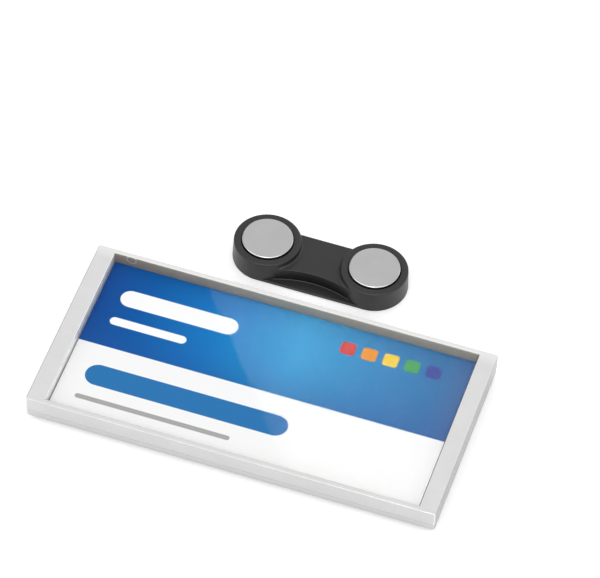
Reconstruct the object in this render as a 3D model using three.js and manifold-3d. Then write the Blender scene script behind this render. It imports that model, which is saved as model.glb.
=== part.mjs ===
// Reusable name badge with a magnetic fastener, in millimetres, +Z up.
// The badge lies face up on the proud steel plate of its back.
// The loose magnet bar lies behind it, magnets up.
// The origin is the centre of the steel plate's bottom face. X runs along the badge, Y towards its top edge.
import * as THREE from "three";
import { mergeVertices } from "three/addons/utils/BufferGeometryUtils.js";
import Module from "manifold-3d";

const wasm = await Module();
wasm.setup();

// Badge body, seen from the front
const BODY_LENGTH = 68;
const BODY_WIDTH = 34;
const FRAME_DEPTH = 2.8;
const FRAME_CORNER_RADIUS = 0.35;
const FACE_EDGE_RADIUS = 0.1;
const SIDE_RAIL_WIDTH = 3;
const LONG_RAIL_WIDTH = 0.9;
const WINDOW_CORNER_RADIUS = 0.15;
const WINDOW_EDGE_CHAMFER = 0.15;

// Back shell, welded under the frame
const SHELL_THICKNESS = 1.3;
const SHELL_CORNER_RADIUS = 0.6;
const SHELL_TAPER = 0.03;
const SHELL_EDGE_RADIUS = 0.1;
const PAD_RISE = 0.4;
const PAD_CLEARANCE = 0.12;
const HOLE_DIAMETER = 2.7;
const HOLE_FROM_TOP_EDGE = 3.33;

// Long slots of the back, one beside each short edge, with a deeper well at the top end of each
const SLOT_OUTER_RAIL = 1.2;
const SLOT_END_WALL = 0.75;
const SLOT_BEVEL_WIDTH = 0.4;
const SLOT_BEVEL_DEPTH = 0.7;
const WELL_LENGTH = 2.8;
const WELL_DEPTH = 1.2;
const WELL_INNER_WALL = 0.5;

// Printed card and clear cover
const CARD_THICKNESS = 0.4;
const CARD_CLEARANCE = 0.12;
const COVER_THICKNESS = 0.85;
const COVER_SINK = 0.4;
const COVER_TONGUE = 0.4;
const COVER_CLEARANCE = 0.12;
const COVER_TOP_CLEARANCE = 0.05;

// Steel plate in its recess
const PLATE_LENGTH = 29.2;
const PLATE_WIDTH = 11.1;
const PLATE_PROUD = 0.9;
const PLATE_SEAT_DEPTH = 0.5;
const PLATE_GAP = 0.5;
const PLATE_EDGE_RADIUS = 0.5;
const PLATE_ABOVE_CENTRE = 4.9;

// Raised plain marks on the back
const RELIEF = 0.15;
const RELIEF_LINE = 0.35;
const LABEL_LENGTH = 11.4;
const LABEL_WIDTH = 3.2;
const LABEL_RADIUS = 0.8;
const LABEL_OFFSET_X = 23.2;
const LABEL_OFFSET_Y = 5.9;
const LABEL_BARS = 6;
const LABEL_BAR_LENGTH = 1.3;
const DASH_COUNT = 5;
const DASH_LENGTH = 1.1;
const DASH_WIDTH = 0.7;
const DASH_PITCH = 1.9;
const DASH_DROP = 3.1;
const ROSETTE_RADIUS = 4;
const ROSETTE_INNER_RADIUS = 2.7;
const ROSETTE_OFFSET_X = 23.1;
const ROSETTE_OFFSET_Y = 5;
const ROSETTE_TICKS = 12;

// Magnet bar
const BAR_GAP = 5.5;
const BAR_SHIFT = 0.4;
const CUP_RADIUS = 5.7;
const CUP_SPACING = 18.4;
const CUP_HEIGHT = 4;
const CUP_TAPER = 0.15;
const CUP_TOP_EDGE = 0.2;
const CUP_BOTTOM_EDGE = 0.2;
const FLANGE_HEIGHT = 0.6;
const DECK_HEIGHT = 2.9;
const DECK_FAR_HALF_WIDTH = 3.75;
const DECK_WAIST_HALF_WIDTH = 3.7;
const COVE_RADIUS = 0.4;

// Magnet discs
const DISC_RADIUS = 4.23;
const DISC_THICKNESS = 2.5;
const DISC_PROUD = 0.4;
const DISC_EDGE_RADIUS = 0.2;
const DISC_GAP = 0.12;

// Fineness of round stretches
const CORNER_STEPS = 6;
const EDGE_STEPS = 3;
const CIRCLE_STEPS = 72;
const POST_STEPS = 36;
const END_STEPS = 24;
// How far a cutting shape runs past the surface it cuts
const PAST = 1;
// Points nearer than this are one point
const WELD = 1e-4;

// Heights and places that follow
const zBack = PLATE_PROUD;
const zSeam = zBack + SHELL_THICKNESS;
const zFace = zSeam + FRAME_DEPTH;
const zPad = zSeam + PAD_RISE;
const zCard = zPad + CARD_THICKNESS;
const zCoverTop = zFace - COVER_SINK;
const zCover = zCoverTop - COVER_THICKNESS;
const zPlateSeat = zBack + PLATE_SEAT_DEPTH;
const yBody = -PLATE_ABOVE_CENTRE;
const windowLength = BODY_LENGTH - 2 * SIDE_RAIL_WIDTH;
const windowWidth = BODY_WIDTH - 2 * LONG_RAIL_WIDTH;
const slotInner = windowLength / 2;
const slotOuter = BODY_LENGTH / 2 - SLOT_OUTER_RAIL;
const slotEnd = BODY_WIDTH / 2 - SLOT_END_WALL;
const wellStart = slotEnd - WELL_LENGTH;
const zDiscSeat = CUP_HEIGHT + DISC_PROUD - DISC_THICKNESS;

const CHROME = { color: 0xd6d6d6, roughness: 0.28, metalness: 1 };
const STEEL = { color: 0xbebebe, roughness: 0.35, metalness: 1 };
const CARD_BLUE = { color: 0x2f6fae, roughness: 0.8, metalness: 0 };
const CLEAR = { color: 0xffffff, roughness: 0.05, metalness: 0, transparent: true, opacity: 0.2 };
const BLACK_PLASTIC = { color: 0x3c3c3c, roughness: 0.55, metalness: 0 };
const NICKEL = { color: 0xb4b4b4, roughness: 0.25, metalness: 1 };

// Points of an outline whose corners are arcs, anticlockwise
function roundedOutline(length, width, radius, steps) {
  const points = [];
  const corners = [
    [length / 2 - radius, -width / 2 + radius, -90],
    [length / 2 - radius, width / 2 - radius, 0],
    [-length / 2 + radius, width / 2 - radius, 90],
    [-length / 2 + radius, -width / 2 + radius, 180],
  ];
  for (const [x, y, start] of corners) {
    for (let i = 0; i <= steps; i++) {
      const angle = THREE.MathUtils.degToRad(start + (90 * i) / steps);
      points.push(new THREE.Vector2(x + radius * Math.cos(angle), y + radius * Math.sin(angle)));
    }
  }
  return points;
}

// Points of a stadium: a straight-sided bar with half-round ends
function stadiumOutline(spacing, radius, steps) {
  const points = [];
  for (const side of [1, -1]) {
    for (let i = 0; i <= steps; i++) {
      const angle = (-Math.PI / 2 + (Math.PI * i) / steps) + (side > 0 ? 0 : Math.PI);
      points.push(new THREE.Vector2(side * spacing / 2 + radius * Math.cos(angle), radius * Math.sin(angle)));
    }
  }
  return points;
}

function circleOutline(radius) {
  return new THREE.EllipseCurve(0, 0, radius, radius).getPoints(CIRCLE_STEPS).slice(0, -1);
}

// Closed mesh through rows of one outline, each at its height and drawn in by its inset
function layered(outlineAt, rows) {
  const rings = rows.map((row) => outlineAt(row.inset).map((p) => [p.x, p.y, row.height]));
  const count = rings[0].length;
  const faces = [];
  for (let r = 0; r + 1 < rings.length; r++) {
    for (let i = 0; i < count; i++) {
      const a = r * count + i;
      const b = r * count + ((i + 1) % count);
      faces.push(a, b, b + count, a, b + count, a + count);
    }
  }
  const cap = THREE.ShapeUtils.triangulateShape(outlineAt(rows[0].inset), []);
  const last = (rings.length - 1) * count;
  for (const [a, b, c] of cap) {
    faces.push(c, b, a, last + a, last + b, last + c);
  }
  const geometry = new THREE.BufferGeometry();
  geometry.setAttribute("position", new THREE.Float32BufferAttribute(rings.flat(2), 3));
  geometry.setIndex(faces);
  return solidOf(geometry);
}

// Rows of an upright side whose bottom and top edges are rounded off
function roundedRows(bottom, top, bottomEdge, topEdge) {
  const rows = [];
  for (let i = 0; i <= EDGE_STEPS && bottomEdge > 0; i++) {
    const angle = ((Math.PI / 2) * i) / EDGE_STEPS;
    const height = bottom + bottomEdge * (1 - Math.cos(angle));
    rows.push({ height, inset: bottomEdge * (1 - Math.sin(angle)) });
  }
  if (bottomEdge === 0) {
    rows.push({ height: bottom, inset: 0 });
  }
  for (let i = 0; i <= EDGE_STEPS && topEdge > 0; i++) {
    const angle = ((Math.PI / 2) * i) / EDGE_STEPS;
    const height = top - topEdge * (1 - Math.sin(angle));
    rows.push({ height, inset: topEdge * (1 - Math.cos(angle)) });
  }
  if (topEdge === 0) {
    rows.push({ height: top, inset: 0 });
  }
  return rows;
}

function solidOf(geometry) {
  const bare = geometry.clone();
  bare.deleteAttribute("normal");
  bare.deleteAttribute("uv");
  const merged = mergeVertices(bare, WELD);
  return new wasm.Manifold(new wasm.Mesh({
    numProp: 3,
    vertProperties: new Float32Array(merged.attributes.position.array),
    triVerts: new Uint32Array(merged.index.array),
  }));
}

// Plain block between two corners
function block(low, high) {
  const geometry = new THREE.BoxGeometry(high[0] - low[0], high[1] - low[1], high[2] - low[2]);
  geometry.translate((low[0] + high[0]) / 2, (low[1] + high[1]) / 2, (low[2] + high[2]) / 2);
  return solidOf(geometry);
}

// Upright round post
function post(radius, x, y, bottom, top) {
  const geometry = new THREE.CylinderGeometry(radius, radius, top - bottom, POST_STEPS);
  geometry.rotateX(Math.PI / 2);
  geometry.translate(x, y, (bottom + top) / 2);
  return solidOf(geometry);
}

// Upright wall of a flat shape, which may have holes
function extruded(shape, bottom, top) {
  const options = { depth: top - bottom, bevelEnabled: false, curveSegments: END_STEPS };
  const geometry = new THREE.ExtrudeGeometry(shape, options);
  geometry.translate(0, 0, bottom);
  return solidOf(geometry);
}

function piece(name, solid, look) {
  const mesh = solid.getMesh();
  const geometry = new THREE.BufferGeometry();
  geometry.setAttribute("position", new THREE.BufferAttribute(mesh.vertProperties, 3));
  geometry.setIndex(new THREE.BufferAttribute(mesh.triVerts, 1));
  geometry.computeVertexNormals();
  const part = new THREE.Mesh(geometry, new THREE.MeshStandardMaterial(look));
  part.name = name;
  return part;
}

const bodyOutline = (radius) => (inset) =>
  roundedOutline(BODY_LENGTH - 2 * inset, BODY_WIDTH - 2 * inset, radius - inset, CORNER_STEPS);

const windowOutline = (inset) =>
  roundedOutline(windowLength - 2 * inset, windowWidth - 2 * inset, WINDOW_CORNER_RADIUS, CORNER_STEPS);

// Chromed front frame: wide side rails, thin long rails and an open window
function frontFrame() {
  let frame = layered(bodyOutline(FRAME_CORNER_RADIUS), roundedRows(zSeam, zFace, 0, FACE_EDGE_RADIUS));
  frame = frame.subtract(layered(windowOutline, [
    { height: zSeam - PAST, inset: 0 },
    { height: zFace - WINDOW_EDGE_CHAMFER, inset: 0 },
    { height: zFace, inset: -WINDOW_EDGE_CHAMFER },
    { height: zFace + PAST, inset: -WINDOW_EDGE_CHAMFER },
  ]));
  // grooves in the side rails that hold the cover's ends
  const reach = windowLength / 2 + COVER_TONGUE + COVER_CLEARANCE;
  const half = windowWidth / 2 - COVER_CLEARANCE / 2;
  frame = frame.subtract(block([-reach, -half, zCover], [reach, half, zCoverTop + COVER_TOP_CLEARANCE]));
  // wells above the top ends of the back's slots
  for (const side of [-1, 1]) {
    const inner = slotInner + WELL_INNER_WALL;
    const low = Math.min(side * inner, side * slotOuter);
    const high = Math.max(side * inner, side * slotOuter);
    frame = frame.subtract(block([low, wellStart, zSeam - PAST], [high, slotEnd, zSeam + WELL_DEPTH]));
  }
  return frame.translate([0, yBody, 0]);
}

// One slot of the back shell: a straight cut, a bevel along its inner edge and the wide mouth of the well
function slotCut(side) {
  const bevelled = new THREE.Shape();
  bevelled.moveTo(slotInner - SLOT_BEVEL_WIDTH, -PAST);
  bevelled.lineTo(slotOuter, -PAST);
  bevelled.lineTo(slotOuter, SHELL_THICKNESS + PAST);
  bevelled.lineTo(slotInner + SLOT_BEVEL_WIDTH, SHELL_THICKNESS + PAST);
  bevelled.lineTo(slotInner + SLOT_BEVEL_WIDTH, SLOT_BEVEL_DEPTH);
  bevelled.lineTo(slotInner, 0);
  bevelled.lineTo(slotInner - SLOT_BEVEL_WIDTH, 0);
  bevelled.closePath();
  const geometry = new THREE.ExtrudeGeometry(bevelled, { depth: slotEnd + wellStart, bevelEnabled: false });
  geometry.rotateX(Math.PI / 2);
  geometry.translate(0, wellStart, zBack);
  const straight = solidOf(geometry);
  const mouth = block([slotInner, wellStart - PAST / 2, zBack - PAST], [slotOuter, slotEnd, zSeam + PAST]);
  const cut = straight.add(mouth);
  return side > 0 ? cut : cut.mirror([1, 0, 0]);
}

// Raised plain frame with short bars inside and a row of dashes, as relief under the back
function labelRelief() {
  const bottom = zBack - RELIEF;
  const top = zBack + RELIEF;
  const outer = new THREE.Shape(roundedOutline(LABEL_LENGTH, LABEL_WIDTH, LABEL_RADIUS, CORNER_STEPS));
  const innerLength = LABEL_LENGTH - 2 * RELIEF_LINE;
  const innerWidth = LABEL_WIDTH - 2 * RELIEF_LINE;
  const innerRadius = LABEL_RADIUS - RELIEF_LINE;
  outer.holes.push(new THREE.Path(roundedOutline(innerLength, innerWidth, innerRadius, CORNER_STEPS)));
  let relief = extruded(outer, bottom, top);
  const pitch = innerLength / (LABEL_BARS + 1);
  for (let i = 1; i <= LABEL_BARS; i++) {
    const x = -innerLength / 2 + i * pitch;
    const low = [x - RELIEF_LINE / 2, -LABEL_BAR_LENGTH / 2, bottom];
    relief = relief.add(block(low, [x + RELIEF_LINE / 2, LABEL_BAR_LENGTH / 2, top]));
  }
  for (let i = 0; i < DASH_COUNT; i++) {
    const x = (i - (DASH_COUNT - 1) / 2) * DASH_PITCH;
    const low = [x - DASH_LENGTH / 2, -DASH_DROP - DASH_WIDTH / 2, bottom];
    relief = relief.add(block(low, [x + DASH_LENGTH / 2, -DASH_DROP + DASH_WIDTH / 2, top]));
  }
  return relief.translate([LABEL_OFFSET_X, LABEL_OFFSET_Y, 0]);
}

// Raised plain double ring joined by short ticks
function rosetteRelief() {
  const bottom = zBack - RELIEF;
  const top = zBack + RELIEF;
  let relief = null;
  for (const radius of [ROSETTE_RADIUS, ROSETTE_INNER_RADIUS]) {
    const ring = new THREE.Shape(circleOutline(radius));
    ring.holes.push(new THREE.Path(circleOutline(radius - RELIEF_LINE)));
    const made = extruded(ring, bottom, top);
    relief = relief ? relief.add(made) : made;
  }
  const low = [ROSETTE_INNER_RADIUS - RELIEF_LINE / 2, -RELIEF_LINE / 2, bottom];
  const high = [ROSETTE_RADIUS - RELIEF_LINE / 2, RELIEF_LINE / 2, top];
  for (let i = 0; i < ROSETTE_TICKS; i++) {
    relief = relief.add(block(low, high).rotate([0, 0, (360 * i) / ROSETTE_TICKS]));
  }
  return relief.translate([-ROSETTE_OFFSET_X, ROSETTE_OFFSET_Y, 0]);
}

// Chromed back shell: flat plate with slots, recess for the steel plate, round hole and raised marks
function backShell() {
  const sides = roundedRows(zBack, zSeam, SHELL_EDGE_RADIUS, 0).map((row) => ({
    height: row.height,
    inset: row.inset + (SHELL_TAPER * (zSeam - row.height)) / SHELL_THICKNESS,
  }));
  let shell = layered(bodyOutline(SHELL_CORNER_RADIUS), sides);
  const padBottom = zSeam - PAD_RISE;
  const padRows = [{ height: padBottom, inset: PAD_CLEARANCE }, { height: zPad, inset: PAD_CLEARANCE }];
  shell = shell.add(layered(windowOutline, padRows));
  shell = shell.subtract(slotCut(1)).subtract(slotCut(-1));
  shell = shell.add(labelRelief()).add(rosetteRelief());
  const recess = stadiumOutline(PLATE_LENGTH - PLATE_WIDTH, PLATE_WIDTH / 2 + PLATE_GAP, END_STEPS);
  const recessRows = [{ height: zBack - PAST, inset: 0 }, { height: zPlateSeat, inset: 0 }];
  shell = shell.subtract(layered(() => recess, recessRows).translate([0, PLATE_ABOVE_CENTRE, 0]));
  const yHole = BODY_WIDTH / 2 - HOLE_FROM_TOP_EDGE;
  shell = shell.subtract(post(HOLE_DIAMETER / 2, 0, yHole, zBack - PAST, zPad + PAST));
  return shell.translate([0, yBody, 0]);
}

function steelPlate() {
  const outline = (inset) => stadiumOutline(PLATE_LENGTH - PLATE_WIDTH, PLATE_WIDTH / 2 - inset, END_STEPS);
  return layered(outline, roundedRows(0, zPlateSeat, PLATE_EDGE_RADIUS, 0));
}

function nameCard() {
  const rows = [{ height: zPad, inset: CARD_CLEARANCE }, { height: zCard, inset: CARD_CLEARANCE }];
  return layered(windowOutline, rows).translate([0, yBody, 0]);
}

// Clear sheet whose ends sit in the grooves of the side rails
function clearCover() {
  const half = windowWidth / 2 - COVER_CLEARANCE;
  const reach = windowLength / 2 + COVER_TONGUE;
  return block([-reach, -half, zCover], [reach, half, zCoverTop]).translate([0, yBody, 0]);
}

// How far the tapered wall of a cup has come in at a height
const cupInset = (height) => (CUP_TAPER * height) / CUP_HEIGHT;

// Bridge between the cups: straight far side, and a near side waisted by an arc.
// The arc touches both cups at the deck's height.
function deck() {
  const half = CUP_SPACING / 2;
  const waist = DECK_WAIST_HALF_WIDTH;
  const touch = CUP_RADIUS - cupInset(DECK_HEIGHT);
  const arcRadius = (half * half + waist * waist - touch * touch) / (2 * (touch - waist));
  const arcCentre = -(waist + arcRadius);
  const end = Math.atan2(-arcCentre, half);
  const shape = new THREE.Shape();
  shape.moveTo(half, DECK_FAR_HALF_WIDTH);
  shape.lineTo(-half, DECK_FAR_HALF_WIDTH);
  shape.lineTo(-half, 0);
  shape.absarc(0, arcCentre, arcRadius, Math.PI - end, end, true);
  shape.lineTo(half, 0);
  shape.closePath();
  return shape;
}

// Hollow fillet round a cup at the deck's height
function cove() {
  const outer = CUP_RADIUS - cupInset(DECK_HEIGHT + COVE_RADIUS);
  const inner = outer - COVE_RADIUS;
  const profile = [new THREE.Vector2(inner, DECK_HEIGHT - COVE_RADIUS)];
  profile.push(new THREE.Vector2(outer + COVE_RADIUS, DECK_HEIGHT - COVE_RADIUS));
  for (let i = 0; i <= EDGE_STEPS + 1; i++) {
    const angle = ((Math.PI / 2) * i) / (EDGE_STEPS + 1);
    const x = outer + COVE_RADIUS * (1 - Math.sin(angle));
    profile.push(new THREE.Vector2(x, DECK_HEIGHT + COVE_RADIUS * (1 - Math.cos(angle))));
  }
  profile.push(new THREE.Vector2(inner, DECK_HEIGHT + COVE_RADIUS));
  profile.push(profile[0].clone());
  const geometry = new THREE.LatheGeometry(profile, CIRCLE_STEPS);
  geometry.rotateX(Math.PI / 2);
  return solidOf(geometry);
}

// Black moulded bar with a round cup at each end
function magnetBar() {
  const flangeOutline = (inset) => stadiumOutline(CUP_SPACING, CUP_RADIUS - inset, END_STEPS);
  const bridge = deck();
  let bar = layered(flangeOutline, roundedRows(0, FLANGE_HEIGHT, CUP_BOTTOM_EDGE, 0));
  bar = bar.add(extruded(bridge, FLANGE_HEIGHT / 2, DECK_HEIGHT));
  const coveRoom = extruded(bridge, FLANGE_HEIGHT, DECK_HEIGHT + COVE_RADIUS);
  const cupOutline = (inset) => circleOutline(CUP_RADIUS - inset);
  const cupRows = roundedRows(0, CUP_HEIGHT, CUP_BOTTOM_EDGE, CUP_TOP_EDGE).map((row) => ({
    height: row.height,
    inset: row.inset + cupInset(row.height),
  }));
  for (const side of [-1, 1]) {
    const x = (side * CUP_SPACING) / 2;
    const cup = layered(cupOutline, cupRows);
    bar = bar.add(cup.translate([x, 0, 0])).add(cove().translate([x, 0, 0]).intersect(coveRoom));
  }
  for (const side of [-1, 1]) {
    const x = (side * CUP_SPACING) / 2;
    bar = bar.subtract(post(DISC_RADIUS + DISC_GAP, x, 0, zDiscSeat, CUP_HEIGHT + PAST));
  }
  return bar;
}

function magnetDisc(side) {
  const outline = (inset) => circleOutline(DISC_RADIUS - inset);
  const disc = layered(outline, roundedRows(zDiscSeat, zDiscSeat + DISC_THICKNESS, 0, DISC_EDGE_RADIUS));
  return disc.translate([(side * CUP_SPACING) / 2, 0, 0]);
}

const badge = new THREE.Group();
badge.add(piece("front_frame", frontFrame(), CHROME));
badge.add(piece("back_shell", backShell(), CHROME));
badge.add(piece("steel_plate", steelPlate(), STEEL));
badge.add(piece("name_card", nameCard(), CARD_BLUE));
badge.add(piece("clear_cover", clearCover(), CLEAR));

const fastener = new THREE.Group();
fastener.add(piece("magnet_bar", magnetBar(), BLACK_PLASTIC));
fastener.add(piece("magnet_disc_left", magnetDisc(-1), NICKEL));
fastener.add(piece("magnet_disc_right", magnetDisc(1), NICKEL));
fastener.position.set(BAR_SHIFT, yBody + BODY_WIDTH / 2 + BAR_GAP + CUP_RADIUS, 0);

const nameBadge = new THREE.Group();
nameBadge.add(badge, fastener);

export default nameBadge;
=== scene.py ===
"""Looks of the name badge and its loose magnet bar. Sizes are in millimetres until they reach a mesh or a lamp."""
import math
import bpy
from mathutils import Matrix, Vector


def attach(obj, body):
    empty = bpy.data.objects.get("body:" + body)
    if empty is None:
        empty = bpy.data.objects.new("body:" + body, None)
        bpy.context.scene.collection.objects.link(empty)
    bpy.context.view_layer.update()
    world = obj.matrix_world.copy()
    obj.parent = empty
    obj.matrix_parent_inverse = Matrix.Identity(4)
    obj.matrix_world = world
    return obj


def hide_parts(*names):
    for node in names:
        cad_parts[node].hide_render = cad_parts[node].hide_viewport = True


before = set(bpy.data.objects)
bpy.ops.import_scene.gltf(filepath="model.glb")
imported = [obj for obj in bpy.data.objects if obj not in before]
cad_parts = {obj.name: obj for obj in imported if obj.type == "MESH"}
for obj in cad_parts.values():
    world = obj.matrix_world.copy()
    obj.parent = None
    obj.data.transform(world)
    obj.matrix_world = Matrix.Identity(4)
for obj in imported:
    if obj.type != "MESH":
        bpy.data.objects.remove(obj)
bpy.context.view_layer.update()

MM = 0.001

# Badge body
BODY_LENGTH, BODY_WIDTH = 68.0, 34.0
BODY_Y = -4.9
Z_BACK, Z_SEAM, Z_PAD, Z_CARD, Z_FACE = 0.9, 2.2, 2.6, 3.0, 5.0
FRAME_CORNER, FACE_EDGE = 0.35, 0.1
WINDOW_LENGTH, WINDOW_WIDTH, WINDOW_CORNER, WINDOW_EDGE = 62.0, 32.2, 0.15, 0.2
SHELL_CORNER, SHELL_EDGE, SHELL_TAPER = 0.6, 0.1, 0.03
CARD_LENGTH, CARD_WIDTH, CARD_CORNER = WINDOW_LENGTH - 0.24, WINDOW_WIDTH - 0.24, 0.15
COVER_LENGTH, COVER_CORNER, COVER_EDGE = WINDOW_LENGTH + 0.8, 0.2, 0.06
Z_COVER, Z_COVER_TOP = 3.75, 4.6
PLATE_SPACING, PLATE_RADIUS, PLATE_EDGE, Z_PLATE_SEAT = 18.1, 5.55, 0.5, 1.4

# Openings of the back, in the body's own coordinates
RECESS_GAP, RECESS_EDGE = 0.5, 0.12
HOLE_Y, HOLE_RADIUS, HOLE_EDGE = 13.67, 1.35, 0.1
SLOT_INNER, SLOT_OUTER, SLOT_BOTTOM, SLOT_TOP = 31.4, 32.8, -16.25, 13.45
BEVEL_INNER, BEVEL_OUTER = 30.55, 32.85
WELL_TOP = 16.25
SHELL_WELL_INNER, SHELL_WELL_BOTTOM = 31.0, 12.95
FRAME_WELL_INNER, FRAME_WELL_DEPTH = 31.5, 1.2

# Plain raised marks of the back
MARK_LINE = 0.35
LABEL, LABEL_LENGTH, LABEL_WIDTH = (23.2, 5.9), 11.4, 3.2
ROSETTE, ROSETTE_RADII, TICKS, TICK_RADIUS = (-23.1, 5.0), (4.0, 2.7), 12, 3.2
MARK_LOW, MARK_HIGH = Z_BACK - 0.15, Z_BACK + 0.1
# (inset, height) up a mark's rounded side
MARK_SIDE = ((0.08, MARK_LOW), (0.02, MARK_LOW + 0.03), (0.0, MARK_LOW + 0.09), (-0.03, MARK_HIGH))

# Magnet bar
BAR_X, BAR_Y = 0.4, 23.3
CUP_SPACING, CUP_RADIUS, CUP_HEIGHT, CUP_TAPER, CUP_EDGE = 18.4, 5.7, 4.0, 0.15, 0.2
FLANGE_HEIGHT, FLANGE_INSET, FLANGE_EDGE = 0.6, 0.012, 0.1
DECK_HEIGHT, DECK_BOTTOM, DECK_EDGE = 2.9, 0.3, 0.08
DECK_FAR, DECK_WAIST = 3.75, 3.7
FOOT_FILLET, CUP_FILLET, LEAST_FILLET = 0.14, 0.4, 0.02
FILLET_SINK, FILLET_ROOT = 0.006, 0.06
DISC_RADIUS, DISC_TOP, DISC_SEAT, POCKET_RADIUS = 4.23, 4.4, 1.9, 4.35


# Outlines, anticlockwise, as lists of (x, y)
def rounded(length, width, radius, steps=8):
    points = []
    for sx, sy, start in ((1, -1, -90), (1, 1, 0), (-1, 1, 90), (-1, -1, 180)):
        x, y = sx * (length / 2 - radius), sy * (width / 2 - radius)
        for i in range(steps + 1):
            a = math.radians(start + 90 * i / steps)
            points.append((x + radius * math.cos(a), y + radius * math.sin(a)))
    return points


def stadium(spacing, radius, steps=40):
    points = []
    for side in (1, -1):
        for i in range(steps + 1):
            a = -math.pi / 2 + math.pi * i / steps + (0 if side > 0 else math.pi)
            points.append((side * spacing / 2 + radius * math.cos(a), radius * math.sin(a)))
    return points


def circle(radius, steps=96):
    angles = [2 * math.pi * i / steps for i in range(steps)]
    return [(radius * math.cos(a), radius * math.sin(a)) for a in angles]


def box(left, right, bottom, top):
    return [(left, bottom), (right, bottom), (right, top), (left, top)]


def roll(radius, steps, rising=True):
    """(inset, drop) along a rolled edge, from the wall to the face, or the other way round."""
    rows = []
    for i in range(steps + 1):
        a = math.pi / 2 * i / steps
        rows.append((radius * (1 - math.cos(a)), radius * (1 - math.sin(a))))
    return rows if rising else rows[::-1]


class Form:
    """Points in millimetres and faces with a material index, gathered into one mesh."""

    def __init__(self):
        self.points, self.faces, self.slots = [], [], []

    def loft(self, rings, closed=False, slots=None, shift=(0, 0)):
        """Skin through rings of (outline, z), with a slot for each band. It is capped at both ends unless closed."""
        start, count = len(self.points), len(rings[0][0])
        for outline, z in rings:
            self.points += [(x + shift[0], y + shift[1], z) for x, y in outline]
        turns = len(rings) if closed else len(rings) - 1
        for r in range(turns):
            low, high = start + r * count, start + ((r + 1) % len(rings)) * count
            for i in range(count):
                j = (i + 1) % count
                self.faces.append((low + i, low + j, high + j, high + i))
                self.slots.append(slots[r] if slots else 0)
        if not closed:
            self.faces.append(tuple(start + i for i in reversed(range(count))))
            self.faces.append(tuple(start + turns * count + i for i in range(count)))
            self.slots += [0, 0]
        return self

    def tube(self, sections):
        """Closed body along a row of cross-sections, capped at both ends and facing outwards."""
        start, count = len(self.points), len(sections[0])
        for section in sections:
            self.points += section
        made = [tuple(reversed(range(start, start + count)))]
        for low in range(start, start + (len(sections) - 1) * count, count):
            for i in range(count):
                j = (i + 1) % count
                made.append((low + i, low + j, low + count + j, low + count + i))
        made.append(tuple(range(len(self.points) - count, len(self.points))))
        volume = 0
        for face in made:
            first, *rest = (Vector(self.points[k]) for k in face)
            volume += sum(first.dot(a.cross(b)) for a, b in zip(rest, rest[1:]))
        self.faces += made if volume > 0 else [face[::-1] for face in made]
        self.slots += [0] * len(made)

    def mesh(self, name):
        made = bpy.data.meshes.new(name)
        made.from_pydata([(x * MM, y * MM, z * MM) for x, y, z in self.points], [], self.faces)
        made.polygons.foreach_set("material_index", self.slots)
        made.validate()
        made.shade_smooth()
        return made


def place(name, mesh, materials, node, angle=32):
    """A finished piece, in place in the row frame."""
    mesh.set_sharp_from_angle(angle=math.radians(angle))
    obj = bpy.data.objects.new(name, mesh)
    bpy.context.scene.collection.objects.link(obj)
    for material in materials:
        mesh.materials.append(material)
    normals = obj.modifiers.new("even_normals", "WEIGHTED_NORMAL")
    normals.mode, normals.keep_sharp, normals.weight = "FACE_AREA_WITH_ANGLE", True, 60
    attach(obj, "root")
    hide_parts(node)
    return obj


def cut_mesh(name, base, cutters):
    """The base form less the cutters, worked out exactly. The base's faces keep their slots."""
    obj = bpy.data.objects.new(name + "_base", base.mesh(name))
    for _ in range(max(base.slots) + 1):
        obj.data.materials.append(None)
    bpy.context.scene.collection.objects.link(obj)
    tools = []
    for i, cutter in enumerate(cutters):
        tool = bpy.data.objects.new(f"{name}_cutter_{i}", cutter.mesh(f"{name}_cutter_{i}"))
        bpy.context.scene.collection.objects.link(tool)
        tools.append(tool)
        step = obj.modifiers.new(f"cut_{i}", "BOOLEAN")
        step.operation, step.solver, step.object = "DIFFERENCE", "EXACT", tool
    graph = bpy.context.evaluated_depsgraph_get()
    graph.update()
    made = bpy.data.meshes.new_from_object(obj.evaluated_get(graph))
    for used in [obj, *tools]:
        old = used.data
        bpy.data.objects.remove(used)
        bpy.data.meshes.remove(old)
    made.name = name
    slots = [face.material_index for face in made.polygons]
    made.materials.clear()
    made.polygons.foreach_set("material_index", slots)
    made.shade_smooth()
    return made


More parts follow.
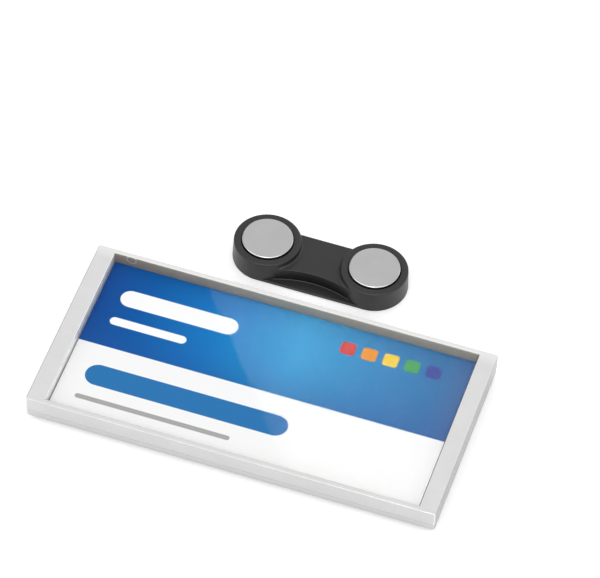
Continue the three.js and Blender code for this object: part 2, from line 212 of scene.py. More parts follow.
# Materials. Their coordinates, like all inside the shaders, are in metres.
class Look:
    """One node material, built a node at a time."""

    def __init__(self, name):
        self.material = bpy.data.materials.new(name)
        self.material.use_nodes = True
        self.tree = self.material.node_tree
        self.tree.nodes.clear()
        self.end = self.tree.nodes.new("ShaderNodeOutputMaterial")
        self.place = self.tree.nodes.new("ShaderNodeTexCoord").outputs["Object"]

    def feed(self, socket, value):
        if isinstance(value, bpy.types.NodeSocket):
            self.tree.links.new(value, socket)
        elif isinstance(value, tuple) and len(value) == 3 and socket.type == "RGBA":
            socket.default_value = (*value, 1)
        else:
            socket.default_value = value

    def node(self, kind, inputs=(), **settings):
        made = self.tree.nodes.new(kind)
        for key, value in settings.items():
            setattr(made, key, value)
        for key, value in dict(inputs).items():
            self.feed(made.inputs[key], value)
        return made

    def along(self, axis):
        return self.node("ShaderNodeSeparateXYZ", {0: self.place}).outputs[axis]

    def math(self, operation, a, b=0.0, c=0.0, clamp=False):
        return self.node("ShaderNodeMath", {0: a, 1: b, 2: c}, operation=operation, use_clamp=clamp).outputs[0]

    def noise(self, scale, detail=2.0, roughness=0.5, stretch=None):
        where = self.place
        if stretch:
            where = self.node("ShaderNodeVectorMath", {0: where, 1: stretch}, operation="MULTIPLY").outputs[0]
        inputs = {"Vector": where, "Scale": scale, "Detail": detail, "Roughness": roughness}
        return self.node("ShaderNodeTexNoise", inputs).outputs["Fac"]

    def between(self, value, low, high, start=0.0, end=1.0):
        inputs = {"Value": value, "From Min": low, "From Max": high, "To Min": start, "To Max": end}
        return self.node("ShaderNodeMapRange", inputs).outputs["Result"]

    def mix(self, share, a, b, blend="MIX"):
        made = self.node("ShaderNodeMix", data_type="RGBA", blend_type=blend)
        self.feed(made.inputs[0], share)
        self.feed(made.inputs[6], a)
        self.feed(made.inputs[7], b)
        return made.outputs[2]

    def bump(self, height, distance, strength=1.0, below=None):
        inputs = {"Height": height, "Distance": distance, "Strength": strength}
        if below:
            inputs["Normal"] = below
        return self.node("ShaderNodeBump", inputs).outputs["Normal"]

    def principled(self, **inputs):
        names = {key.replace("_", " ").title().replace("Ior", "IOR"): value for key, value in inputs.items()}
        shader = self.node("ShaderNodeBsdfPrincipled", names).outputs[0]
        self.tree.links.new(shader, self.end.inputs["Surface"])
        return self.material


def srgb(r, g, b):
    def linear(v):
        v /= 255
        return v / 12.92 if v <= 0.04045 else ((v + 0.055) / 1.055) ** 2.4
    return linear(r), linear(g), linear(b)


def grey(value):
    return srgb(value, value, value)


def plated_look(name, tone, rough, low_shade_tone=None, far_highlight_tone=None):
    """Silver plating over moulded plastic: slight swell, fine grain, faint clouding and sparse hairline scratches.
    With a low shade tone, the plating is darker towards the bottom of the body's walls, a painted shade.
    With a far highlight tone, it is lighter along the body's top edge, a painted highlight."""
    look = Look(name)
    cloud = look.noise(260, 3, 0.55)
    grain = look.noise(9000, 2, 0.6)
    swell = look.noise(420, 2, 0.4)
    hair = look.noise(900, 1, 0.5, (1.0, 14.0, 3.0))
    scratch = look.between(hair, 0.69, 0.74)
    base = look.mix(cloud, grey(tone - 5), grey(tone + 5))
    # Painted highlight: the plating is lighter along the body's top edge.
    if far_highlight_tone:
        far = look.between(look.along("Y"), 0.0095, 0.0116)
        base = look.mix(far, base, grey(far_highlight_tone))
    # Painted shade: the plating is darker towards the bottom of the walls.
    if low_shade_tone:
        low = look.between(look.along("Z"), 0.0028, 0.0010)
        base = look.mix(look.math("POWER", low, 1.5), base, grey(low_shade_tone))
    base = look.mix(look.math("MULTIPLY", scratch, 0.25), base, grey(tone - 22))
    roughness = look.between(cloud, 0.3, 0.7, rough - 0.04, rough + 0.05)
    roughness = look.math("ADD", roughness, look.math("MULTIPLY", scratch, 0.12))
    normal = look.bump(grain, 0.0000004, 0.6)
    normal = look.bump(swell, 0.000004, 0.5, normal)
    return look.principled(base_color=base, metallic=1.0, roughness=roughness, normal=normal)


def inner_wall_look():
    """The window's long walls, thinly plated and dull, with faint mould lines. They are darker along the top, lighter
    towards the right as a painted reflection, and carry two faint light rings that are painted reflections.
    """
    look = Look("window_wall")
    cloud = look.noise(500, 3, 0.6)
    lines = look.noise(1500, 2, 0.5, (1.0, 1.0, 8.0))
    x, z = look.along("X"), look.along("Z")
    base = look.mix(cloud, srgb(138, 129, 114), srgb(156, 147, 131))
    base = look.mix(look.between(z, 0.0042, 0.005, 0.0, 0.3), base, srgb(100, 94, 86))
    # Painted reflection: lighter towards the right.
    base = look.mix(look.between(x, 0.02, -0.03, 0.0, 0.75), srgb(178, 168, 152), base)
    # Painted reflections: two faint light rings near the top of the wall.
    reflection_height, reflection_radius = 0.0044, 0.0008
    for reflection_x, strength in ((-0.0281, 0.5), (-0.0053, 0.25)):
        across = look.math("POWER", look.math("SUBTRACT", x, reflection_x), 2)
        upward = look.math("POWER", look.math("SUBTRACT", z, reflection_height), 2)
        distance = look.math("SQRT", look.math("ADD", across, upward))
        ring = look.math("ABSOLUTE", look.math("SUBTRACT", distance, reflection_radius))
        base = look.mix(look.between(ring, 0.00012, 0.00004, 0.0, strength), base, srgb(236, 232, 224))
    roughness = look.between(cloud, 0.3, 0.7, 0.42, 0.58)
    normal = look.bump(lines, 0.000008, 0.7)
    return look.principled(base_color=base, metallic=0.2, roughness=roughness, normal=normal)


def inner_end_look():
    """The window's short walls: fine upright drag lines, with a painted highlight at the top and painted shade a little
    lower down by the card.
    """
    look = Look("window_end")
    drag = look.noise(2400, 2, 0.6, (1.0, 1.0, 0.2))
    # Painted highlight above, painted shade below by the card.
    upper, lower = look.mix(drag, grey(236), grey(250)), look.mix(drag, grey(190), grey(215))
    base = look.mix(look.between(look.along("Z"), 0.0042, 0.0036), upper, lower)
    roughness = look.between(drag, 0.3, 0.7, 0.4, 0.55)
    normal = look.bump(drag, 0.000006, 0.6)
    return look.principled(base_color=base, metallic=0.3, roughness=roughness, normal=normal)


def steel_look():
    """Satin steel: long fine brushing, speckle and slightly uneven sheen."""
    look = Look("satin_steel")
    brushed = look.noise(2600, 3, 0.6, (0.05, 1.0, 1.0))
    speckle = look.noise(7000, 2, 0.7)
    cloud = look.noise(180, 2, 0.5)
    base = look.mix(speckle, grey(170), grey(198))
    base = look.mix(look.math("MULTIPLY", cloud, 0.3), base, grey(160))
    roughness = look.between(brushed, 0.3, 0.7, 0.24, 0.42)
    normal = look.bump(brushed, 0.000004, 0.7)
    normal = look.bump(speckle, 0.000003, 0.8, normal)
    return look.principled(base_color=base, metallic=1.0, roughness=roughness, anisotropic=0.4, normal=normal)


def nickel_look():
    """Satin nickel of the magnet discs: fine round lapping marks and a few tiny pits."""
    look = Look("magnet_nickel")
    lap = look.noise(3800, 2, 0.6)
    cloud = look.noise(300, 2, 0.5)
    pits = look.between(look.noise(2600, 1, 0.5), 0.72, 0.76)
    base = look.mix(cloud, grey(178), grey(190))
    base = look.mix(look.math("MULTIPLY", pits, 0.1), base, grey(150))
    roughness = look.between(lap, 0.3, 0.7, 0.18, 0.24)
    normal = look.bump(lap, 0.0000002, 0.5)
    return look.principled(base_color=base, metallic=1.0, roughness=roughness, normal=normal)


def black_look(name, low, high):
    """Black moulded plastic with a fine spark-eroded grain and a satin sheen."""
    look = Look(name)
    grain = look.noise(6500, 3, 0.6)
    cloud = look.noise(350, 3, 0.5)
    base = look.mix(cloud, grey(low), grey(high))
    base = look.mix(look.math("MULTIPLY", grain, 0.2), base, grey(high + 16))
    roughness = look.between(grain, 0.3, 0.7, 0.36, 0.46)
    normal = look.bump(grain, 0.000004, 0.6)
    return look.principled(base_color=base, roughness=roughness, specular_ior_level=0.45, normal=normal)


# Generic print, in millimetres from the card's middle
BAND_EDGE = -1.25
BAND_STOPS = ((0, (22, 74, 148)), (0.12, (6, 88, 164)), (0.32, (22, 120, 192)), (0.55, (46, 158, 210)),
              (0.75, (38, 132, 188)), (0.92, (38, 112, 168)), (1, (60, 104, 158)))
GLOW_Y, GLOW_REACH = 9.5, 11.0
# centre, length, width and corner radius of each bar
WHITE_BARS = ((-17.5, 9.4, 20, 3.4, 1.7), (-21.0, 4.2, 13, 1.6, 0.8))
BLUE_BAR, GREY_BAR = (-10.5, -7.2, 34, 4.2, 2.1), (-14.5, -12.2, 26, 0.9, 0.45)
SQUARES = ((208, 70, 66), (232, 150, 50), (238, 205, 70), (70, 160, 90), (52, 66, 150))


def print_look():
    """Generic card: a shaded blue band over a white field, with plain bars and small squares."""
    look = Look("printed_card")
    x = look.math("MULTIPLY", look.along("X"), 1000)
    y = look.math("MULTIPLY_ADD", look.along("Y"), 1000, -BODY_Y)

    def bar(cx, cy, length, width, radius):
        """1 inside a bar with rounded corners."""
        out = []
        for value, centre, half in ((x, cx, length / 2), (y, cy, width / 2)):
            away = look.math("ABSOLUTE", look.math("SUBTRACT", value, centre))
            out.append(look.math("MAXIMUM", look.math("SUBTRACT", away, half - radius), 0.0))
        square = look.math("ADD", look.math("POWER", out[0], 2), look.math("POWER", out[1], 2))
        return look.between(look.math("SQRT", square), radius + 0.02, radius - 0.02)

    ramp = look.node("ShaderNodeValToRGB", {0: look.between(x, -31, 31)})
    while len(ramp.color_ramp.elements) < len(BAND_STOPS):
        ramp.color_ramp.elements.new(0.5)
    for element, (at, colour) in zip(ramp.color_ramp.elements, BAND_STOPS):
        element.position = at
        element.color = (*srgb(*colour), 1)
    dusk = look.math("POWER", look.math("DIVIDE", look.math("SUBTRACT", y, GLOW_Y), GLOW_REACH), 2)
    band = look.mix(look.math("MULTIPLY", dusk, 0.6, clamp=True), ramp.outputs[0], srgb(30, 84, 156))
    paper = look.mix(look.noise(5200, 3, 0.6), grey(241), grey(247))
    colour = look.mix(look.between(y, BAND_EDGE - 0.02, BAND_EDGE + 0.02), paper, band)
    white = look.math("MAXIMUM", bar(*WHITE_BARS[0]), bar(*WHITE_BARS[1]))
    colour = look.mix(white, colour, grey(250))
    for i, shade in enumerate(SQUARES):
        colour = look.mix(bar(10.5 + 3.6 * i, 11.6, 2.5, 2.5, 0.5), colour, srgb(*shade))
    colour = look.mix(bar(*BLUE_BAR), colour, srgb(44, 116, 176))
    colour = look.mix(bar(*GREY_BAR), colour, grey(168))
    ink = look.noise(8000, 2, 0.5)
    colour = look.mix(0.03, colour, look.mix(ink, grey(90), grey(255)), "MULTIPLY")
    # only the face is printed, and the edges and the back stay paper
    side = look.node("ShaderNodeNewGeometry").outputs["Normal"]
    upward = look.node("ShaderNodeSeparateXYZ", {0: side}).outputs["Z"]
    colour = look.mix(look.between(upward, 0.45, 0.55), paper, colour)
    fibre = look.noise(3500, 3, 0.6)
    roughness = look.between(fibre, 0.3, 0.7, 0.48, 0.62)
    normal = look.bump(fibre, 0.000003, 0.6)
    return look.principled(base_color=colour, roughness=roughness, specular_ior_level=0.04, normal=normal)


def clear_look():
    """Clear acrylic that doesn't bend what is seen through it, with a faint gloss that grows at a slant."""
    look = Look("clear_cover")
    smudge = look.noise(150, 3, 0.6)
    facing = look.node("ShaderNodeLayerWeight", {"Blend": 0.5}).outputs["Facing"]
    coated = look.between(facing, 0.3, 0.75, 0.14, 0.9)
    tint = look.mix(coated, (0.0, 0.0, 0.0), (1.0, 1.0, 1.0))
    roughness = look.between(smudge, 0.3, 0.7, 0.005, 0.012)
    gloss = look.node("ShaderNodeBsdfGlossy", {"Color": tint, "Roughness": roughness}).outputs[0]
    clear = look.node("ShaderNodeBsdfTransparent", {"Color": (1.0, 1.0, 1.0)}).outputs[0]
    share = look.math("MULTIPLY_ADD", look.math("POWER", facing, 5), 0.96, 0.012, clamp=True)
    both = look.node("ShaderNodeMixShader", {0: share, 1: clear, 2: gloss}).outputs[0]
    look.tree.links.new(both, look.end.inputs["Surface"])
    return look.material


def floor_look():
    look = Look("pale_floor")
    cloud = look.noise(6, 2, 0.5)
    base = look.mix(cloud, (0.96, 0.96, 0.96), (0.98, 0.98, 0.98))
    return look.principled(base_color=base, roughness=0.7, specular_ior_level=0.1,
                           emission_color=(1.0, 1.0, 1.0), emission_strength=0.18)


# The face's plating, with a painted highlight along the body's top edge.
PLATED = plated_look("bright_plating", 221, 0.18, far_highlight_tone=234)
# Painted shade: darker copies of the same plating for the outer walls, the short walls darkest.
PLATED_SIDE_SHADE = plated_look("plating_side_painted_shade", 200, 0.2, 190)
PLATED_END_SHADE = plated_look("plating_end_painted_shade", 128, 0.16, 64)
PLATED_BACK = plated_look("bright_plating_back", 206, 0.16)
WALL = inner_wall_look()
WALL_END = inner_end_look()
# Painted shade: dark copies of the plating for the window's right and near rolled edges.
WINDOW_RIM_SHADE = plated_look("plating_rim_painted_shade", 130, 0.3)
WINDOW_NEAR_SHADE = plated_look("plating_near_painted_shade", 60, 0.3)
STEEL = steel_look()
NICKEL = nickel_look()
BLACK = black_look("black_plastic", 24, 34)
# Painted shade: a near-black copy of the same plastic for the deck's sides.
BLACK_WAIST_SHADE = black_look("black_plastic_painted_shade", 2, 6)
CARD = print_look()
CLEAR = clear_look()


def front_frame():
    """One closed skin, up the outside, over the face and down the window's walls, with a well above each back slot."""
    def outer(inset):
        return rounded(BODY_LENGTH - 2 * inset, BODY_WIDTH - 2 * inset, FRAME_CORNER - inset)

    def window(out):
        return rounded(WINDOW_LENGTH + 2 * out, WINDOW_WIDTH + 2 * out, WINDOW_CORNER)

    looks = [PLATED, WALL, PLATED_SIDE_SHADE, PLATED_END_SHADE, WALL_END, WINDOW_RIM_SHADE, WINDOW_NEAR_SHADE]
    face, long_inner, long_outer, short_outer, short_inner, rim, near_rim = range(len(looks))
    rings = [(outer(0.04), Z_SEAM), (outer(0.01), Z_SEAM + 0.02), (outer(0), Z_SEAM + 0.06)]
    wall_band = len(rings) - 1
    rings += [(outer(i), Z_FACE - d) for i, d in roll(FACE_EDGE, 5)]
    rings += [(window(i), Z_FACE - d) for i, d in roll(WINDOW_EDGE, 5, rising=False)]
    rings += [(window(0), Z_SEAM)]
    # bands of the window's rolled edge that face the window, of its wall, and of the frame's underside
    rim_band = len(rings) - 5
    inner_band = len(rings) - 2
    slots = [face] * rim_band + [long_inner] * 5
    form = Form().loft(rings, closed=True, slots=slots, shift=(0, BODY_Y))

    # painted light: the long outer walls take a darker copy of the plating and the short ones a much darker copy,
    # painted shade, while the middle of each corner keeps the face's plating as a painted highlight
    count = len(rings[0][0])
    for band in range(wall_band + 4):
        for i in range(count):
            corner, step = divmod(i, 9)
            short = step > 5 and corner % 2 == 0 or step < 2 and corner % 2 == 1
            if short or band <= wall_band:
                form.slots[band * count + i] = face if 2 <= step <= 5 else short_outer if short else long_outer
    # the window's right, left and near edges, each by the place of its straight in an outline. The rolled right and
    # near edges take dark copies of the plating, painted shade along the card; the left edge keeps the face's plating
    for straight, edge, wall in ((8, rim, short_inner), (26, face, short_inner), (35, near_rim, long_inner)):
        for band in range(rim_band, inner_band):
            form.slots[band * count + straight] = edge
        form.slots[inner_band * count + straight] = wall

    wells = []
    for side in (-1, 1):
        left, right = sorted((side * FRAME_WELL_INNER, side * SLOT_OUTER))
        well = box(left, right, SLOT_TOP + BODY_Y, WELL_TOP + BODY_Y)
        wells.append(Form().loft([(well, Z_SEAM - 1), (well, Z_SEAM + FRAME_WELL_DEPTH)]))
    mesh = cut_mesh("frame_body", form, wells)
    for polygon in mesh.polygons:
        x, z = abs(polygon.center.x) / MM, polygon.center.z / MM
        in_well = FRAME_WELL_INNER - 0.1 < x < SLOT_OUTER + 0.1 and Z_SEAM < z < Z_SEAM + FRAME_WELL_DEPTH + 0.1
        if in_well:
            polygon.material_index = long_inner
    return place("frame_body", mesh, looks, "front_frame")


def back_openings():
    """Cutters for the plate's recess, the round hole, the slots and the wells at their top ends."""
    def mouth(outline_at, top, radius):
        """Opening with a rounded mouth at the back's face."""
        rows = [(outline_at(radius), Z_BACK - 1)]
        for i in range(5):
            a = math.pi / 2 * i / 4
            rows.append((outline_at(radius * (1 - math.sin(a))), Z_BACK + radius * (1 - math.cos(a))))
        rows.append((outline_at(0), top))
        return Form().loft(rows)

    def recess(out):
        return [(x, y - BODY_Y) for x, y in stadium(PLATE_SPACING, PLATE_RADIUS + RECESS_GAP + out)]

    def hole(out):
        return [(x, y + HOLE_Y) for x, y in circle(HOLE_RADIUS + out, 48)]

    cutters = [mouth(recess, Z_PLATE_SEAT, RECESS_EDGE), mouth(hole, Z_PAD + 1, HOLE_EDGE)]
    for side in (-1, 1):
        # (inner edge, outer edge, height): a rounded mouth, a bevel up to the slot's floor, and the slot itself
        rings = []
        for inner, outer, z in ((BEVEL_INNER, BEVEL_OUTER, Z_BACK - 1), (BEVEL_INNER, BEVEL_OUTER, Z_BACK - 0.02),
                                (BEVEL_INNER + 0.07, SLOT_OUTER, Z_BACK + 0.05),
                                (SLOT_INNER, SLOT_OUTER, Z_BACK + 0.7), (SLOT_INNER, SLOT_OUTER, Z_SEAM + 1)):
            left, right = sorted((side * inner, side * outer))
            rings.append((box(left, right, SLOT_BOTTOM, SLOT_TOP), z))
        cutters.append(Form().loft(rings))
        left, right = sorted((side * SHELL_WELL_INNER, side * SLOT_OUTER))
        well = box(left, right, SHELL_WELL_BOTTOM, WELL_TOP)
        cutters.append(Form().loft([(well, Z_BACK - 1), (well, Z_SEAM + 1)]))
    return cutters


def back_marks():
    """Plain raised marks in place of the product's own: a framed label over a row of pads, and a rosette."""
    marks = Form()

    def raised(outline_at, shift):
        marks.loft([(outline_at(i), z) for i, z in MARK_SIDE], shift=shift)

    def raised_ring(outer_at, inner_at, shift):
        rows = [(inner_at(i), z) for i, z in reversed(MARK_SIDE)] + [(outer_at(i), z) for i, z in MARK_SIDE]
        marks.loft(rows, closed=True, shift=shift)

    inner_length, inner_width = LABEL_LENGTH - 2 * MARK_LINE, LABEL_WIDTH - 2 * MARK_LINE
    raised_ring(lambda i: rounded(LABEL_LENGTH - 2 * i, LABEL_WIDTH - 2 * i, 0.8 - i),
                lambda i: rounded(inner_length + 2 * i, inner_width + 2 * i, 0.45 + i), LABEL)
    for i in range(6):
        at = LABEL[0] - inner_length / 2 + (i + 1) * inner_length / 7
        raised(lambda inset: rounded(0.35 - 2 * inset, 1.3 - 2 * inset, 0.08, 3), (at, LABEL[1]))
    for i in range(5):
        at = (LABEL[0] + (i - 2) * 1.9, LABEL[1] - 3.1)
        raised(lambda inset: rounded(1.1 - 2 * inset, 0.7 - 2 * inset, 0.12, 3), at)
    for radius in ROSETTE_RADII:
        raised_ring(lambda i: circle(radius - i), lambda i: circle(radius - MARK_LINE + i), ROSETTE)
    for k in range(TICKS):
        a = 2 * math.pi * k / TICKS

        def tick(inset):
            bar = [(x + TICK_RADIUS, y) for x, y in rounded(1.1 - 2 * inset, 0.35 - 2 * inset, 0.05, 2)]
            return [(x * math.cos(a) - y * math.sin(a), x * math.sin(a) + y * math.cos(a)) for x, y in bar]
        raised(tick, ROSETTE)
    return marks


def back_shell():
    """Shell with rolled edges, rounded mouths of recess, hole and slots, the card's pad and low raised marks."""
    def outer(inset):
        return rounded(BODY_LENGTH - 2 * inset, BODY_WIDTH - 2 * inset, SHELL_CORNER - inset)

    taper = SHELL_TAPER / (Z_SEAM - Z_BACK)
    rows = roll(SHELL_EDGE, 4, rising=False)
    rings = [(outer(i + taper * (Z_SEAM - Z_BACK - d)), Z_BACK + d) for i, d in rows]
    rings += [(outer(0.005), Z_SEAM - 0.05), (outer(0.04), Z_SEAM)]
    pad = rounded(CARD_LENGTH, CARD_WIDTH, CARD_CORNER)
    rings += [(pad, Z_SEAM), (pad, Z_PAD)]
    mesh = cut_mesh("back_body", Form().loft(rings), back_openings())
    marks = back_marks()

    def wall_slot(face):
        """Slot 2 on the short outer walls, 1 on the rest of the way round: darker copies of the plating, painted shade.
        """
        x, y = abs(face.center.x) / MM, abs(face.center.y) / MM
        inside = x < BODY_LENGTH / 2 - 0.7 and y < BODY_WIDTH / 2 - 0.3
        if inside or not -0.95 < face.normal.z < 0.5:
            return 0
        return 2 if abs(face.normal.x) > 0.95 else 1

    joined = Form()
    points = [tuple(v.co / MM) for v in mesh.vertices] + marks.points
    joined.points = [(x, y + BODY_Y, z) for x, y, z in points]
    offset = len(mesh.vertices)
    joined.faces = [tuple(p.vertices) for p in mesh.polygons] + [tuple(v + offset for v in f) for f in marks.faces]
    joined.slots = [wall_slot(p) for p in mesh.polygons] + [0] * len(marks.faces)
    bpy.data.meshes.remove(mesh)
    # The outer walls take the darker copies of the plating, painted shade.
    looks = [PLATED_BACK, PLATED_SIDE_SHADE, PLATED_END_SHADE]
    return place("back_body", joined.mesh("back_body"), looks, "back_shell")


def steel_plate():
    rings = [(stadium(PLATE_SPACING, PLATE_RADIUS - i), d) for i, d in roll(PLATE_EDGE, 8, rising=False)]
    rings += [(stadium(PLATE_SPACING, PLATE_RADIUS), Z_PLATE_SEAT)]
    return place("plate_body", Form().loft(rings).mesh("plate_body"), [STEEL], "steel_plate")


def name_card():
    def edge(inset):
        return rounded(CARD_LENGTH - 2 * inset, CARD_WIDTH - 2 * inset, CARD_CORNER - inset)

    rings = [(edge(0.03), Z_PAD), (edge(0), Z_PAD + 0.03), (edge(0), Z_CARD - 0.04),
             (edge(0.012), Z_CARD - 0.012), (edge(0.04), Z_CARD)]
    form = Form().loft(rings, shift=(0, BODY_Y))
    return place("card_body", form.mesh("card_body"), [CARD], "name_card")


def clear_cover():
    def edge(inset):
        return rounded(COVER_LENGTH - 2 * inset, CARD_WIDTH - 2 * inset, COVER_CORNER - inset, 4)

    rings = [(edge(i), Z_COVER + d) for i, d in roll(COVER_EDGE, 2, rising=False)]
    rings += [(edge(i), Z_COVER_TOP - d) for i, d in roll(COVER_EDGE, 2)]
    form = Form().loft(rings, shift=(0, BODY_Y))
    return place("cover_body", form.mesh("cover_body"), [CLEAR], "clear_cover")


# Magnet bar: flange, waisted deck and two tapered cups, with hollow fillets where they meet
def cup_radius(height):
    return CUP_RADIUS - CUP_TAPER * height / CUP_HEIGHT


def waist_arc():
    """Radius of the arc that hollows the deck's near side between the cups, and its centre's distance from the axis."""
    half = CUP_SPACING / 2
    touch = cup_radius(DECK_HEIGHT)
    radius = (half * half + DECK_WAIST ** 2 - touch ** 2) / (2 * (touch - DECK_WAIST))
    return radius, -(DECK_WAIST + radius)


def deck_reach(dx, dy, radius, centre):
    """How far the deck's top reaches from a cup's axis in a direction, up to its far edge or its waist."""
    reach = CUP_SPACING / 2
    if dy > 0.01:
        reach = min(reach, DECK_FAR / dy - DECK_EDGE)
    # where the ray meets the waist's circle
    x, y = -CUP_SPACING / 2, -centre
    b = x * dx + y * dy
    c = x * x + y * y - radius * radius
    inside = b * b - c
    if inside > 0 and -b - math.sqrt(inside) > 0:
        reach = min(reach, -b - math.sqrt(inside) - DECK_EDGE)
    return reach


def fillet(size, wall_at, floor):
    """Cross-section of a hollow fillet between a floor and a wall, with its root sunk into both.
    wall_at(away, z) is the point at a distance from the wall's face."""
    section = []
    for i in range(7):
        a = math.pi / 2 * i / 6
        z = floor - FILLET_SINK + size * (1 - math.cos(a))
        section.append(wall_at(size * (1 - math.sin(a)) - FILLET_SINK, z))
    section.append(wall_at(-FILLET_ROOT, floor - FILLET_SINK + size))
    section.append(wall_at(-FILLET_ROOT, floor - FILLET_ROOT))
    section.append(wall_at(size - FILLET_SINK, floor - FILLET_ROOT))
    return section


def magnet_bar():
    form = Form()
    flange_radius = CUP_RADIUS - FLANGE_INSET
    rows = [(stadium(CUP_SPACING, flange_radius - i), d) for i, d in roll(CUP_EDGE, 4, rising=False)]
    rows += [(stadium(CUP_SPACING, flange_radius - i), FLANGE_HEIGHT - d) for i, d in roll(FLANGE_EDGE, 3)]
    form.loft(rows, shift=(BAR_X, BAR_Y))

    radius, centre = waist_arc()
    half = CUP_SPACING / 2
    start = math.atan2(-centre, half)
    steps = 40
    angles = [math.pi - start + (2 * start - math.pi) * i / steps for i in range(steps + 1)]

    def deck(inset):
        """Anticlockwise: along the waist from left to right, then back along the far side."""
        near = [((radius + inset) * math.cos(a), centre + (radius + inset) * math.sin(a)) for a in angles]
        far = [(half * (1 - 2 * i / steps), DECK_FAR - inset) for i in range(steps + 1)]
        return near + far

    # The deck's sides take the near-black copy of the plastic, painted shade.
    rows = [(deck(0), DECK_BOTTOM), (deck(0), DECK_HEIGHT - DECK_EDGE)]
    rows += [(deck(i), DECK_HEIGHT - d) for i, d in roll(DECK_EDGE, 4)[1:]]
    form.loft(rows, slots=[1] + [0] * len(rows), shift=(BAR_X, BAR_Y))

    # foot fillets of the waist's wall and of the far wall
    sections = []
    for a in angles:
        def waist_wall(away, z):
            reach = radius - away
            return reach * math.cos(a) + BAR_X, centre + reach * math.sin(a) + BAR_Y, z
        sections.append(fillet(FOOT_FILLET, waist_wall, FLANGE_HEIGHT))
    form.tube(sections)
    sections = []
    for x in (half - 2, 2 - half):
        def far_wall(away, z):
            return x + BAR_X, DECK_FAR + away + BAR_Y, z
        sections.append(fillet(FOOT_FILLET, far_wall, FLANGE_HEIGHT))
    form.tube(sections)

    for side in (-1, 1):
        cup_x = side * half + BAR_X
        # the cup's own bottom lies inside the flange, so that no two faces share a plane
        profile = [(CUP_RADIUS - 0.35, 0.05)]
        profile += [(cup_radius(d) - i, d) for i, d in roll(CUP_EDGE, 4, rising=False)[1:]]
        profile += [(cup_radius(CUP_HEIGHT - d) - i, CUP_HEIGHT - d) for i, d in roll(CUP_EDGE, 6)]
        mouth = ((0, 0), (0.05, 0.015), (0.085, 0.05), (0.1, 0.1))
        profile += [(POCKET_RADIUS + 0.1 - i, CUP_HEIGHT - d) for i, d in mouth]
        profile += [(POCKET_RADIUS, DISC_SEAT)]
        form.loft([(circle(r, 128), z) for r, z in profile], shift=(cup_x, BAR_Y))
        # hollow fillet between cup and deck, narrower where the deck's sides come in
        sections = []
        for i in range(49):
            turn = math.radians(-64 + 112 * i / 48)
            dx, dy = math.cos(turn), math.sin(turn)
            room = deck_reach(dx, dy, radius, centre) - cup_radius(DECK_HEIGHT)
            size = min(CUP_FILLET, room * 0.9)

            def cup_wall(away, z):
                reach = cup_radius(z) + away
                return cup_x - side * reach * dx, BAR_Y + reach * dy, z
            if size > LEAST_FILLET:
                sections.append(fillet(size, cup_wall, DECK_HEIGHT))
        form.tube(sections)
    return place("bar_body", form.mesh("bar_body"), [BLACK, BLACK_WAIST_SHADE], "magnet_bar", angle=38)


def magnet_disc(name, side, node):
    form = Form()
    rings = [(circle(DISC_RADIUS - 0.1), DISC_SEAT), (circle(DISC_RADIUS), DISC_SEAT + 0.1)]
    rings += [(circle(DISC_RADIUS - i), DISC_TOP - d) for i, d in roll(0.2, 8)]
    form.loft(rings, shift=(BAR_X + side * CUP_SPACING / 2, BAR_Y))
    return place(name, form.mesh(name), [NICKEL], node)


FRAME = front_frame()
back_shell()
steel_plate()
name_card()
COVER = clear_cover()
FASTENER = [magnet_bar(), magnet_disc("disc_left", -1, "magnet_disc_left"),
            magnet_disc("disc_right", 1, "magnet_disc_right")]


# Surroundings
def sheet(name, points, material):
    """A single flat face that isn't part of the badge."""
    mesh = bpy.data.meshes.new(name)
    mesh.from_pydata(points, [], [(0, 1, 2, 3)])
    mesh.materials.append(material)
    obj = bpy.data.objects.new(name, mesh)
    bpy.context.scene.collection.objects.link(obj)
    return obj


floor = sheet("floor", [(-3, -3, 0), (3, -3, 0), (3, 3, 0), (-3, 3, 0)], floor_look())

world = bpy.data.worlds.new("studio")
bpy.context.scene.world = world
world.use_nodes = True
world.node_tree.nodes["Background"].inputs["Color"].default_value = (1.0, 1.0, 1.0, 1)
world.node_tree.nodes["Background"].inputs["Strength"].default_value = 1.0


def area_light(name, position, width, height, radiance, turn=None):
    """A rectangular lamp, given by how bright its face looks. It faces the badge unless it is turned otherwise."""
    data = bpy.data.lights.new(name, "AREA")
    data.shape, data.size, data.size_y = "RECTANGLE", width * MM, height * MM
    data.energy = radiance * math.pi * data.size * data.size_y
    obj = bpy.data.objects.new(name, data)
    bpy.context.scene.collection.objects.link(obj)
    towards = Vector((0, 0, 0)) - Vector(position)
    obj.rotation_euler = turn or towards.to_track_quat("-Z", "Y").to_euler()
    obj.location = Vector(position) * MM
    return obj


def shine_only_on(lamp, pieces):
    receivers = bpy.data.collections.new(lamp.name + "_receivers")
    for obj in pieces:
        receivers.objects.link(obj)
    lamp.light_linking.receiver_collection = receivers


area_light("key", (60, -480, 620), 260, 260, 5.6)
area_light("rim", (420, 480, 260), 260, 260, 1.0)

# Wide softbox that only the magnet bar and its discs mirror. It draws the bright crescents along the discs' near edges.
SOFTBOX = area_light("softbox", (0, -420, 560), 2200, 600, 1.7)
SOFTBOX.visible_diffuse = False
shine_only_on(SOFTBOX, FASTENER)

# Weaker one that only the frame mirrors, as a fine bright line along its near edge
EDGE_LAMP = area_light("edge_lamp", (0, -330, 640), 700, 460, 0.9)
EDGE_LAMP.visible_diffuse = False
shine_only_on(EDGE_LAMP, [FRAME])

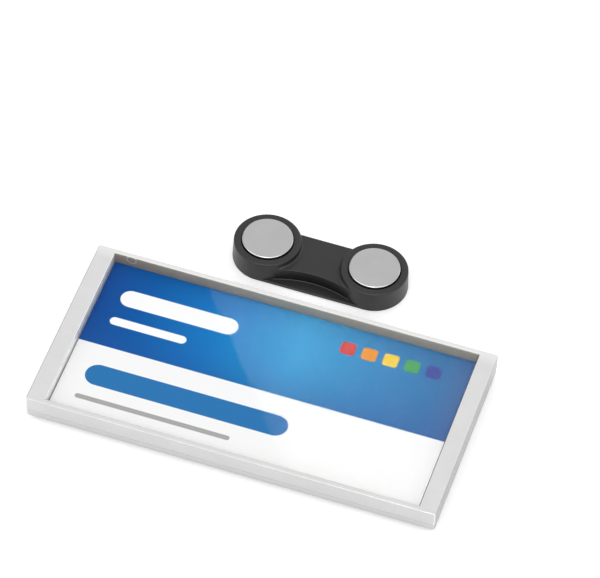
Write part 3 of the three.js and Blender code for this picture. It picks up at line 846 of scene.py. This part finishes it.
# Lamp that only the clear cover mirrors. Its long edge shows as the slanted line across the window.
LINE_START, OUTWARD, WINDOW_LAMP_WIDTH = Vector((-156, 473 + BODY_Y, 600)), Vector((0.787, 0.617, 0)), 300
WINDOW_LAMP = area_light("window_lamp", LINE_START + OUTWARD * (WINDOW_LAMP_WIDTH / 2), 500, WINDOW_LAMP_WIDTH, 12.0,
                         turn=(0, 0, math.radians(-51.9)))
shine_only_on(WINDOW_LAMP, [COVER])


def dark_card(name, position, width, height):
    """A black card beside the table that only glossy surfaces mirror. It draws thin dark lines along plated edges."""
    look = Look(name)
    look.principled(base_color=look.mix(look.noise(4, 2), (0.02, 0.02, 0.02), (0.03, 0.03, 0.03)),
                    roughness=0.9, specular_ior_level=0.0)
    half = width / 2
    obj = sheet(name, [(-half, 0, 0), (half, 0, 0), (half, 0, height), (-half, 0, height)], look.material)
    obj.location = position
    obj.rotation_euler = (0, 0, math.atan2(position[1], position[0]) - math.pi / 2)
    obj.visible_camera = obj.visible_diffuse = obj.visible_shadow = obj.visible_transmission = False


dark_card("dark_card_left", (-0.72, 0.7, 0.0), 0.5, 0.85)
dark_card("dark_card_front", (-0.2, -0.98, 0.0), 1.2, 0.25)

# Camera, from a fit to the photo, which is 600 pixels wide
AZIMUTH, ELEVATION, ROLL = math.radians(16.057), math.radians(50.137), math.radians(3.045)
CAMERA_AT, FOCAL_PIXELS, PHOTO_WIDTH, SENSOR_WIDTH = (125.06, -421.13, 547.62), 4365.9, 600, 36
level = math.cos(ELEVATION)
back = Vector((math.sin(AZIMUTH) * level, -math.cos(AZIMUTH) * level, math.sin(ELEVATION)))
right = Vector((math.cos(AZIMUTH), math.sin(AZIMUTH), 0))
up = back.cross(right)
right, up = math.cos(ROLL) * right + math.sin(ROLL) * up, math.cos(ROLL) * up - math.sin(ROLL) * right
camera_data = bpy.data.cameras.new("camera")
camera_data.sensor_width = SENSOR_WIDTH
camera_data.lens = FOCAL_PIXELS * SENSOR_WIDTH / PHOTO_WIDTH
camera = bpy.data.objects.new("camera", camera_data)
bpy.context.scene.collection.objects.link(camera)
turned = Matrix((right, up, back)).transposed().to_4x4()
turned.translation = Vector(CAMERA_AT) * MM
camera.matrix_world = turned
bpy.context.scene.camera = camera

bpy.context.scene.view_settings.view_transform = "Standard"
